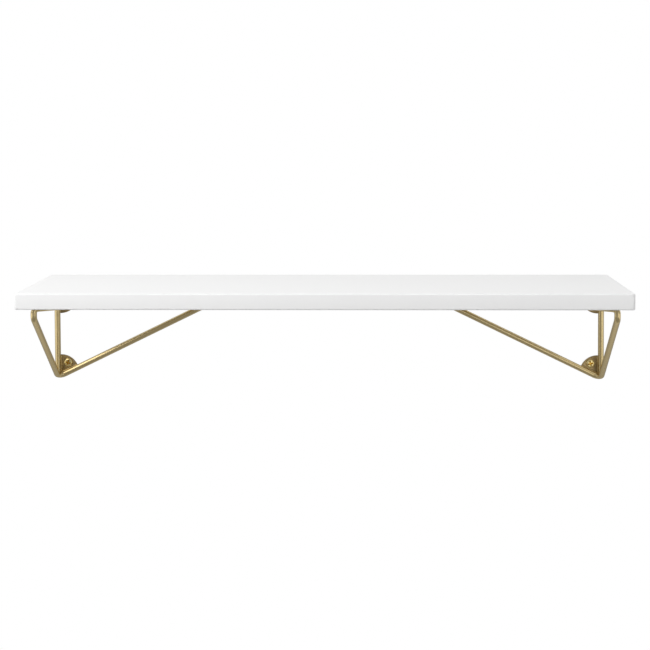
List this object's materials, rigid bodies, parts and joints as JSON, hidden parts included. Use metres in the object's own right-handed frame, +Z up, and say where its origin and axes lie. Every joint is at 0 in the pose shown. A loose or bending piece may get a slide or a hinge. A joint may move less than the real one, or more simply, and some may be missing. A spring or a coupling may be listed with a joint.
{
  "type": "wall shelf",
  "caption": "Narrow white wall shelf board carried by a pair of triangular brackets bent from round brass coloured wire, screwed to the wall and up into the board.",
  "frame": {"origin": "middle of the board's rear edge face, on the plane of the wall", "axes": "+X along the shelf to the right as seen from the front, +Y into the wall, +Z up"},
  "size_m": [0.6, 0.1677, 0.1115],
  "materials": {
    "board_lacquer": "white satin lacquer over fibreboard",
    "wire_brass": "satin brass plating on steel wire",
    "plate_brass": "satin brass plating on steel sheet",
    "screw_brass": "bright yellow brass plating"
  },
  "bodies": {
    "root": {"shelf_board": "board_lacquer", "left_loop_wire": "wire_brass", "left_corner_wire": "wire_brass", "left_lower_wall_plate": "plate_brass", "left_upper_wall_plate": "plate_brass", "left_front_board_tab": "plate_brass", "left_rear_board_tab": "plate_brass", "left_lower_wall_screw": "screw_brass", "left_upper_wall_screw": "screw_brass", "left_front_board_screw": "screw_brass", "left_rear_board_screw": "screw_brass", "right_loop_wire": "wire_brass", "right_corner_wire": "wire_brass", "right_lower_wall_plate": "plate_brass", "right_upper_wall_plate": "plate_brass", "right_front_board_tab": "plate_brass", "right_rear_board_tab": "plate_brass", "right_lower_wall_screw": "screw_brass", "right_upper_wall_screw": "screw_brass", "right_front_board_screw": "screw_brass", "right_rear_board_screw": "screw_brass"}
  },
  "joints": []
}
